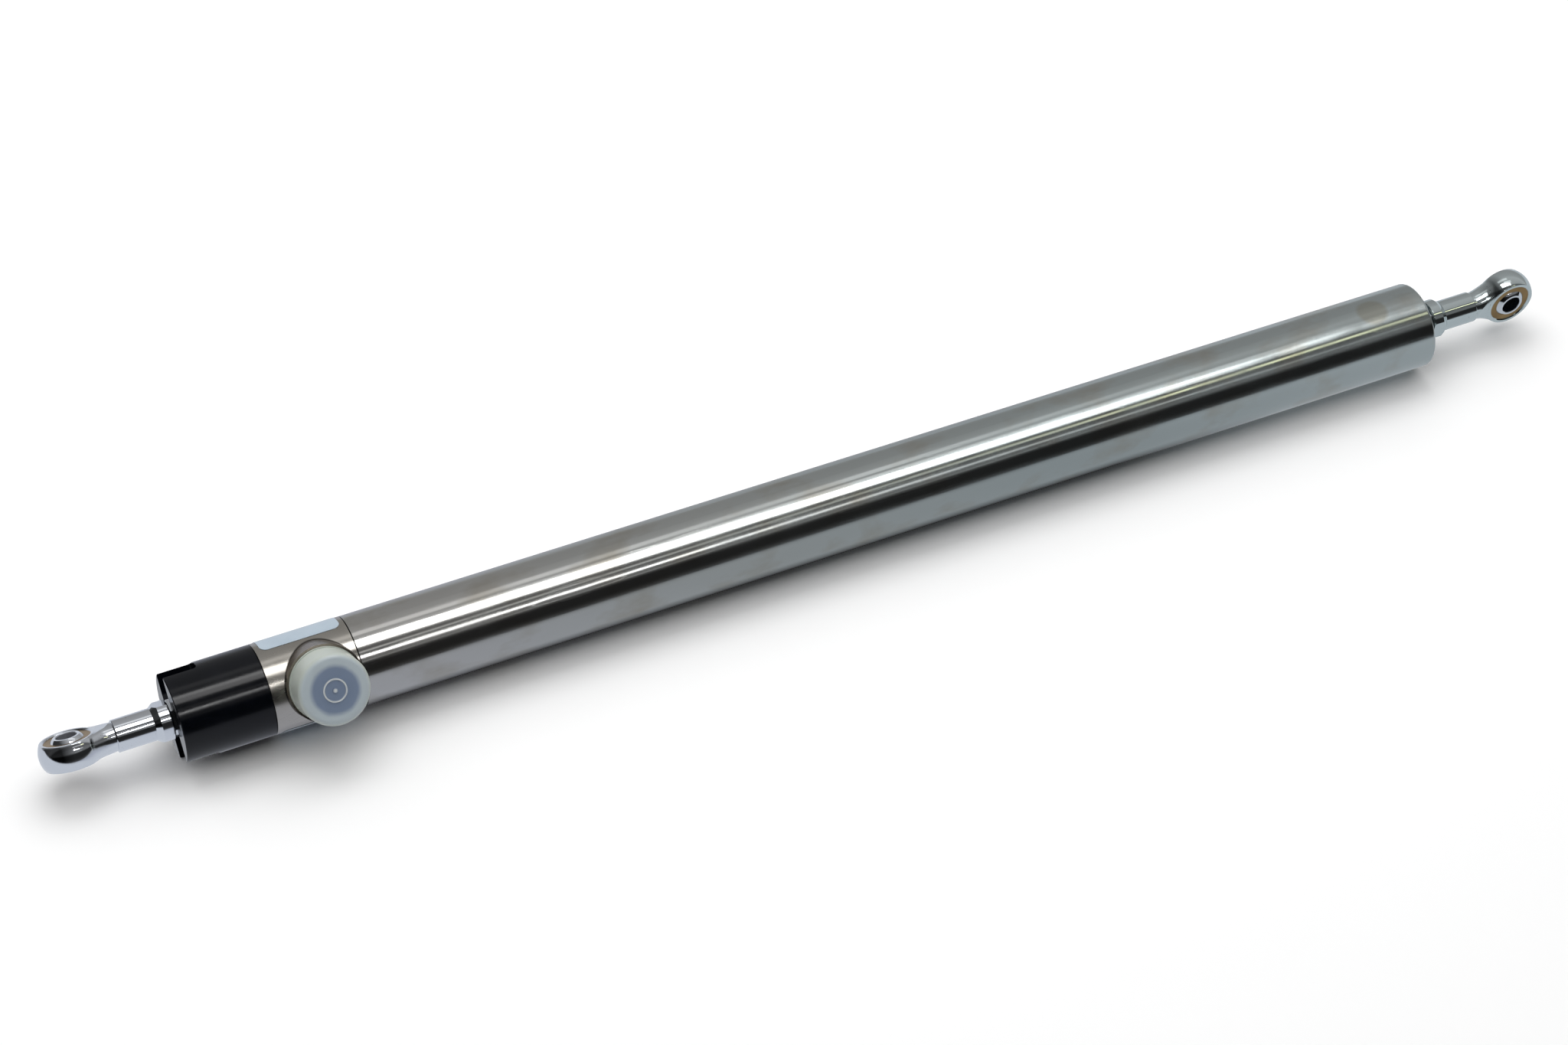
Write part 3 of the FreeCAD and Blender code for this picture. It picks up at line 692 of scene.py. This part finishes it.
FINISHES: dict[str, Finish] = {
    # Bright zinc over a forging mirrors the room sharply, with a bluish cast and a few dark pits
    "zinc_plate": BrightPlate("bright zinc plate", "D5D9DF", 1.0, 0.075),
    # Sintered bronze shows as a dull orange-brown ring between the bright eye and the bright ball
    "race_bronze": Mottled("sintered bronze", "9C8158", 1.0, 0.3, shade="7A6240"),
    # Glossy navy black: one soft grey band along the top, broken into fine strokes by the tool marks
    "black_anodised": TurnedAnodising("turned black anodising", "03050A", 0.0, 0.15, 1.36),
    # Ground stainless mirrors the lamps as long bands, drawn out round the bar by the grinding
    "stainless": GroundStainless("ground stainless steel", "C3C2BF", 1.0, 0.18, anisotropy=0.8),
    # Nickel plate over turned brass is a warmer, browner and duller grey than the steel beside it
    "nickel_plate": GroundStainless("nickel-plated brass", "A1978C", 1.0, 0.2, warm="8A7D6F", cool="A1978C",
                                    rough=(0.2, 0.32)),
    # Glass-filled nylon is a flat dark blue-grey with no gloss
    "insert_plastic": Mottled("glass-filled nylon", "171D2C", 0.0, 0.5, shade="232B3D"),
    # A thin gold flash gives the pins a warm satin shine
    "gold_plate": Mottled("gold flash on brass", "D8AE5A", 1.0, 0.22, shade="B98B3C"),
    # Enamelled copper shows reddish sections with dark lines between them
    "copper": WoundWire("enamelled copper wire", "B4673A", 0.8, 0.35),
    # Polythene is milky at its rim, and the darker opening behind its thin face is a painted see-through in
    # its colour
    "cap_plastic": SoftPolythene("milky polythene", "D4DBD2", 0.0, 0.3, 1.5, transmission=0.35),
    # Polyester film has an even pale blue-grey face with a slight clear gloss
    "label_film": Mottled("pale polyester film", "ADBBC7", 0.0, 0.32, coat=0.3, shade="A1B0BD"),
    # Nitrile rubber is matt black
    "seal_rubber": Mottled("nitrile rubber", "101010", 0.0, 0.6, shade="1C1C1C"),
    # Solder mask is a deep glossy green
    "board_laminate": Mottled("solder-masked glass laminate", "0F4A26", 0.0, 0.35, coat=0.4, shade="0A3A1D"),
    # Moulding compound is a dull black with a fine grain
    "chip_plastic": Mottled("moulding compound", "141416", 0.0, 0.55, shade="202022"),
    # Drawn aluminium is pale and satin
    "can_aluminium": Mottled("drawn aluminium", "C4C5C8", 1.0, 0.3, shade="A8A9AD"),
    # Polyamide is a matt charcoal with a moulded grain
    "moulded_plastic": Mottled("moulded polyamide", "1B1B1D", 0.0, 0.48, shade="262628"),
    # Annealed iron is a dull grey with faint clouds
    "soft_iron": Mottled("annealed soft iron", "8C8A86", 1.0, 0.42, shade="6E6B66"),
    # Turned fluoropolymer is waxy off-white
    "slide_plastic": Mottled("turned fluoropolymer", "E6E5DE", 0.0, 0.4, shade="D6D4CB"),
}

NODE_FINISHES: dict[str, Finish] = {
    # The tube carries one faint round stain near its front end, and a line of painted shade at its seam
    "outer_tube": GroundStainless("ground stainless tube", "C3C2BF", 1.0, 0.18, anisotropy=0.8,
                                  seams_mm=(TUBE_X_MM,), stain_at=STAIN_CENTRE),
    # The housing was turned, not ground: warmer, with softer bands and lines of painted shade where it meets
    # others
    "connector_housing": HousingSteel("turned stainless housing", "B9B5AE", 1.0, 0.24, anisotropy=0.7,
                                      warm="A09A90", cool="B9B5AE", rough=(0.2, 0.32),
                                      seams_mm=(HOUSING_X_MM, TUBE_X_MM)),
    # The forged rod ends mirror the room like the other plated pieces, round a soft hollow at the neck
    "rear_rod_end": PlatedForging("bright zinc on the rear forging", "D5D9DF", 1.0, 0.075),
    "front_rod_end": PlatedForging("bright zinc on the front forging", "CBD5D6", 1.0, 0.075,
                                   eye_x_mm=FRONT_EYE_X_MM),
    # Hard chrome gives the balls a sharper mirror than the zinc, round a dull bore darkened by painted shade
    "rear_ball": SwivelBall("hard-chromed rear ball", "DCE0E6", 1.0, 0.06, bore="6E7076"),
    "front_ball": SwivelBall("hard-chromed front ball", "DCE0E6", 1.0, 0.06,
                             bore_centre_x_mm=FRONT_EYE_X_MM, bore_angle=174.0),
}


@dataclass
class Workshop:
    """Makes and hands out the finishes, and turns bmeshes into pieces."""

    made: dict[str, bpy.types.Material] = field(default_factory=dict)

    def finish(self, node: str, slot: str) -> bpy.types.Material:
        """Gives the material of a node: its own one, or else its slot's, made once.

        Args:
            node: name of the node.
            slot: name of the record's material slot.

        Returns:
            The material.
        """
        name, finish = (node, NODE_FINISHES[node]) if node in NODE_FINISHES else (slot, FINISHES[slot])
        if name not in self.made:
            self.made[name] = finish.material()
        return self.made[name]

    def piece(self, name: str, bm: bmesh.types.BMesh, slot: str, body: Body,
              stands_for: tuple[str, ...] = ()) -> bpy.types.Object:
        """Turns a finished bmesh into a piece of the object.

        Args:
            name: name of the piece.
            bm: its mesh, which is freed.
            slot: the record's material slot that it takes its finish from.
            body: the body that it rides on.
            stands_for: CAD nodes that it replaces.

        Returns:
            The piece.
        """
        bmesh.ops.recalc_face_normals(bm, faces=bm.faces)
        mesh = bpy.data.meshes.new(name)
        bm.to_mesh(mesh)
        bm.free()
        mesh.shade_smooth()
        mesh.set_sharp_from_angle(angle=SHARP_ANGLE)
        made = bpy.data.objects.new(name, mesh)
        bpy.context.scene.collection.objects.link(made)
        mesh.materials.append(self.finish(name, slot))
        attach(made, body.value)
        if stands_for:
            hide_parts(*stands_for)
        LOG.info("%s has %d faces", name, len(mesh.polygons))
        return made

    def dress_nodes(self) -> None:
        """Gives every CAD node the finish of its slot."""
        for part in frame["record"]["subparts"]:
            node = frame["nodes"][part["node"]]
            node.data.materials.clear()
            node.data.materials.append(self.finish(part["node"], part["material_slot"]))
            LOG.info("%s is finished in %s", part["node"], node.data.materials[0].name)


@dataclass
class ThreadedStud:
    """The stud from the head into the rear rod end, with the coarse thread that shows in the slot."""

    start_mm: float = 23.5
    length_mm: float = 39.95
    crest_mm: float = 3.95
    root_mm: float = 3.33
    pitch_mm: float = 1.25
    flat_share: float = 0.09
    crest_shares: Pair = (0.46, 0.57)
    steps_a_turn: int = 36
    weld_mm: float = 0.0005

    def build(self, workshop: Workshop) -> bpy.types.Object:
        """Winds the thread and closes its ends.

        Args:
            workshop: makes the piece.

        Returns:
            The stud.
        """
        bm = bmesh.new()
        rise, fall = self.crest_shares
        run = [(0.0, self.root_mm), (self.flat_share, self.root_mm), (rise, self.crest_mm),
               (fall, self.crest_mm), (rise + fall - self.flat_share, self.root_mm), (1.0, self.root_mm)]
        start = self.start_mm - self.pitch_mm
        flank = [bm.verts.new(((start + share * self.pitch_mm) * MM, 0.0, radius * MM))
                 for share, radius in run]
        edges = [bm.edges.new(pair) for pair in zip(flank, flank[1:])]
        turns = math.ceil(self.length_mm / self.pitch_mm) + 1
        steps = turns * self.steps_a_turn
        bmesh.ops.spin(bm, geom=flank + edges, cent=(0.0, 0.0, 0.0), axis=(1.0, 0.0, 0.0),
                       dvec=(self.pitch_mm * MM / self.steps_a_turn, 0.0, 0.0), angle=math.tau * turns,
                       steps=steps, use_merge=False)
        bmesh.ops.remove_doubles(bm, verts=bm.verts, dist=self.weld_mm * MM)
        for end_mm, outward in ((self.start_mm, -1.0), (self.start_mm + self.length_mm, 1.0)):
            bmesh.ops.bisect_plane(bm, geom=bm.verts[:] + bm.edges[:] + bm.faces[:],
                                   dist=self.weld_mm * MM, plane_co=(end_mm * MM, 0.0, 0.0),
                                   plane_no=(outward, 0.0, 0.0), clear_outer=True)
        bmesh.ops.holes_fill(bm, edges=[edge for edge in bm.edges if edge.is_boundary], sides=0)
        return workshop.piece("threaded_stud", bm, "zinc_plate", Body.BARREL, ("rear_stud",))


@dataclass(frozen=True)
class Strip:
    """A long narrow lamp that only the metal and gloss mirror, given as seen from the tube.

    Elevations turn from 0 in front, over 90 straight up, to 180 behind, in degrees.
    """

    name: str
    elevations: Pair
    ends: Pair
    width: float
    radiance: float
    tint: str = "FFFFFF"
    distance: float = 1.4

    def hang(self) -> None:
        """Hangs the lamp so that it faces the tube."""
        start, end = [
            Vector((x, -self.distance * math.cos(turn), self.distance * math.sin(turn)))
            for x, turn in zip(self.ends, map(math.radians, self.elevations))]
        middle = (start + end) / 2
        hang_lamp(self.name, middle, Vector((middle.x, 0.0, 0.0)), end - start,
                  ((end - start).length, self.width), self.radiance, True, self.tint)


def hang_lamp(name: str, at: Vector, towards: Vector, along: Vector, size: Pair,
              radiance: float, glossy: bool, tint: str = "FFFFFF") -> None:
    """Hangs one rectangular lamp.

    Args:
        name: name of the lamp.
        at: its place, in metres.
        towards: the point that it faces.
        along: direction of its longer side.
        size: its length and width, in metres.
        radiance: how bright its face is, where 1 is white.
        glossy: whether mirrors alone see it; otherwise it lights matt surfaces and no mirror shows it.
        tint: hex colour of its light.
    """
    data = bpy.data.lights.new(name, "AREA")
    data.shape = "RECTANGLE"
    data.size, data.size_y = size
    data.energy = radiance * WHITE_POWER * size[0] * size[1]
    data.color = linear(tint)[:3]
    lamp = bpy.data.objects.new(name, data)
    bpy.context.scene.collection.objects.link(lamp)
    away = (at - towards).normalized()
    side = (along - away * along.dot(away)).normalized()
    turned = Matrix((side, away.cross(side), away)).transposed().to_4x4()
    lamp.matrix_world = Matrix.Translation(at) @ turned
    lamp.visible_camera = False
    lamp.visible_transmission = False
    lamp.visible_glossy = glossy
    lamp.visible_diffuse = not glossy


ROOM_BANDS: dict[float, float] = {
    -8.0: 0.40, -2.0: 0.16, 0.0: 0.08, 5.0: 0.035, 11.0: 0.022, 30.0: 0.022, 34.0: 0.10, 38.0: 0.20,
    43.0: 0.19, 53.0: 0.17, 57.0: 0.13, 66.0: 0.13, 70.0: 0.16, 76.0: 0.44, 98.0: 0.50, 112.0: 0.52,
    124.0: 0.42, 150.0: 0.37, 170.0: 0.35, 180.0: 0.38}
"""Brightness of the room by elevation in degrees: 0 in front, 90 straight up, 180 behind."""


@dataclass
class Studio:
    """Pale floor, room, lamps and camera that stand round the object.

    Each tone of mirrored_floor takes over from the one before it between two places along X; the darker tones
    along the barrel are partly tint and partly painted shade of the barrel's shadow.
    Places and spans are in metres, but for left_wall_span, which is the X of a direction of length 1.
    """

    middle: Triple = (0.3, 0.0, 0.0)
    floor_gap_mm: float = 0.05
    floor_reach: float = 6.0
    floor_colour: str = "FBFBFB"
    mirrored_rear: str = "D9DDE4"
    # painted shade: the tones that metal mirrors are darker along the barrel's span
    mirrored_floor: tuple[tuple[str, Pair], ...] = (
        ("BDC1CC", (0.03, 0.08)), ("AEB2B6", (0.08, 0.28)), ("C6CBD0", (0.45, 0.66)))
    far_front_span: Pair = (-0.80, -0.12)
    far_front_strength: Pair = (0.10, 1.0)
    # painted shadow: how close to the tube's line, and along which span, the mirrored glow darkens
    contact_mm: Pair = (10.0, 21.0)
    contact_shade: float = 0.95
    barrel_middle: float = 0.28
    barrel_span: Pair = (0.16, 0.24)
    left_wall_span: Pair = (-0.60, 0.05)
    left_wall_strength: Pair = (0.10, 1.0)
    backdrop: str = "FDFDFD"
    key_at: Triple = (0.30, 0.50, 1.30)
    key_size: Pair = (1.2, 0.7)
    key_radiance: float = 1.3
    tent_at: Triple = (0.30, 1.25, 1.80)
    tent_size: Pair = (5.0, 5.0)
    tent_radiance: float = 0.86
    strips: tuple[Strip, ...] = (
        Strip("broad bright strip", (80.5, 77.5), (0.13, 1.04), 0.29, 2.8),
        Strip("upper part of the broad strip", (91.0, 80.5), (0.13, 1.00), 0.16, 5.0),
        Strip("soft upper edge of the broad strip", (92.5, 90.0), (0.50, 1.20), 0.26, 0.42),
        Strip("thin front strip", (47.9, 46.8), (0.13, 0.72), 0.085, 3.2),
        Strip("glare on the head", (50.5, 50.5), (0.20, 0.31), 0.045, 18.0),
        Strip("thin front strip's tail", (47.5, 47.0), (0.72, 1.20), 0.09, 0.4),
        Strip("second thin strip", (59.0, 61.5), (0.13, 1.00), 0.08, 0.48),
        Strip("second thin strip's bright end", (62.0, 65.5), (1.00, 1.50), 0.11, 1.5, "F0EEC4"),
        Strip("faint low strip", (36.5, 36.5), (0.20, 1.00), 0.05, 0.18),
        Strip("faint rear strip", (110.0, 107.0), (0.13, 1.00), 0.26, 0.34))
    camera_at: Triple = (-0.1651, -0.9941, 1.0340)
    look_right: Triple = (0.90774, -0.41953, 0.0)
    look_up: Triple = (0.28789, 0.62289, 0.72737)
    lens_mm: float = 86.9
    sensor_mm: float = 36.0

    def build(self) -> None:
        """Makes everything that stands round the object."""
        self.floor()
        self.world()
        level = Vector((1.0, 0.0, 0.0))
        hang_lamp("overhead lamp", Vector(self.key_at), Vector(self.middle), level, self.key_size,
                  self.key_radiance, False)
        roof = Vector(self.tent_at)
        hang_lamp("light tent's roof", roof, Vector((roof.x, roof.y, 0.0)), level, self.tent_size,
                  self.tent_radiance, False)
        for strip in self.strips:
            strip.hang()
        self.camera()
        bpy.context.scene.view_settings.view_transform = "Standard"

    def floor(self) -> None:
        """Lays a large matt floor just under the object."""
        low, _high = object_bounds()
        bm = bmesh.new()
        bmesh.ops.create_grid(bm, x_segments=1, y_segments=1, size=self.floor_reach)
        level = low[2] - self.floor_gap_mm * MM
        bmesh.ops.translate(bm, verts=bm.verts, vec=(self.middle[0], self.middle[1], level))
        mesh = bpy.data.meshes.new("floor")
        bm.to_mesh(mesh)
        bm.free()
        floor = bpy.data.objects.new("floor", mesh)
        bpy.context.scene.collection.objects.link(floor)
        floor.data.materials.append(self.floor_material())
        floor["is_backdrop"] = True

    def floor_material(self) -> bpy.types.Material:
        """Makes matt white card that glossy rays see as a glow in pale greys, which dims towards the far
        front and has painted shadow that darkens it close along the tube under the barrel.

        Returns:
            The floor's material.
        """
        made = bpy.data.materials.new("matt white card")
        made.use_nodes = True
        tree = made.node_tree
        tree.nodes.clear()
        path = add_node(tree, "ShaderNodeLightPath")
        matt = add_node(tree, "ShaderNodeBsdfDiffuse", {"Color": linear(self.floor_colour)})
        axes = add_node(tree, "ShaderNodeSeparateXYZ", links={"Vector": object_place(tree)})
        along, across = axes.outputs["X"], axes.outputs["Y"]
        colour = self.mirrored_rear
        for tone, span in self.mirrored_floor:
            colour = blend(tree, along, colour, tone, span)
        # the mirrored glow dims towards the far front, and painted shadow darkens it close along the tube
        # under the barrel
        far_front = remap(tree, across, self.far_front_span, self.far_front_strength)
        near = remap(tree, gap_to(tree, across, 0.0), metres(self.contact_mm), (1.0, 0.0))
        below = remap(tree, gap_to(tree, along, self.barrel_middle), self.barrel_span,
                      (self.contact_shade, 0.0))
        lit = combine(tree, "SUBTRACT", 1.0, combine(tree, "MULTIPLY", near, below))
        mirrored = add_node(tree, "ShaderNodeEmission", links={
            "Color": colour, "Strength": combine(tree, "MULTIPLY", far_front, lit)})
        seen = add_node(tree, "ShaderNodeMixShader", links={
            0: path.outputs["Is Glossy Ray"], 1: matt.outputs["BSDF"], 2: mirrored.outputs["Emission"]})
        add_node(tree, "ShaderNodeOutputMaterial", links={"Surface": seen.outputs["Shader"]})
        return made

    def world(self) -> None:
        """Sets a room that is grey above and behind, dark in front, and white to the eye."""
        world = bpy.data.worlds.new("studio room")
        bpy.context.scene.world = world
        world.use_nodes = True
        tree = world.node_tree
        tree.nodes.clear()
        where = add_node(tree, "ShaderNodeTexCoord")
        axes = add_node(tree, "ShaderNodeSeparateXYZ", links={"Vector": where.outputs["Generated"]})
        turn = combine(tree, "ARCTAN2", axes.outputs["Z"], combine(tree, "MULTIPLY", axes.outputs["Y"], -1.0))
        lowest, highest = min(ROOM_BANDS), max(ROOM_BANDS)
        share = remap(tree, turn, (math.radians(lowest), math.radians(highest)))
        ramp = add_node(tree, "ShaderNodeValToRGB", links={"Fac": share})
        stops = ramp.color_ramp.elements
        while len(stops) > 1:
            stops.remove(stops[0])
        for turned, level in ROOM_BANDS.items():
            place = (turned - lowest) / (highest - lowest)
            stop = stops[0] if turned == lowest else stops.new(place)
            stop.position = place
            stop.color = (level, level, level, 1.0)
        left_wall = remap(tree, axes.outputs["X"], self.left_wall_span, self.left_wall_strength)
        room = add_node(tree, "ShaderNodeBackground",
                        links={"Color": ramp.outputs["Color"], "Strength": left_wall})
        white = add_node(tree, "ShaderNodeBackground", {"Color": linear(self.backdrop), "Strength": 1.0})
        path = add_node(tree, "ShaderNodeLightPath")
        direct = combine(tree, "MAXIMUM", path.outputs["Is Camera Ray"], path.outputs["Is Transmission Ray"])
        seen = add_node(tree, "ShaderNodeMixShader", links={
            0: direct, 1: room.outputs["Background"], 2: white.outputs["Background"]})
        add_node(tree, "ShaderNodeOutputWorld", links={"Surface": seen.outputs["Shader"]})

    def camera(self) -> None:
        """Sets the photograph's viewing angle."""
        data = bpy.data.cameras.new("camera")
        data.lens = self.lens_mm
        data.sensor_width = self.sensor_mm
        camera = bpy.data.objects.new("camera", data)
        bpy.context.scene.collection.objects.link(camera)
        right, up = Vector(self.look_right), Vector(self.look_up)
        back = right.cross(up)
        turned = Matrix((right, up, back)).transposed().to_4x4()
        camera.matrix_world = Matrix.Translation(self.camera_at) @ turned
        bpy.context.scene.camera = camera


def main() -> None:
    """Builds the dressed object and its studio."""
    logging.basicConfig(level=logging.INFO, format="%(name)s: %(message)s")
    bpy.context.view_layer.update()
    workshop = Workshop()
    workshop.dress_nodes()
    ThreadedStud().build(workshop)
    Studio().build()


if __name__ == "__main__":
    main()
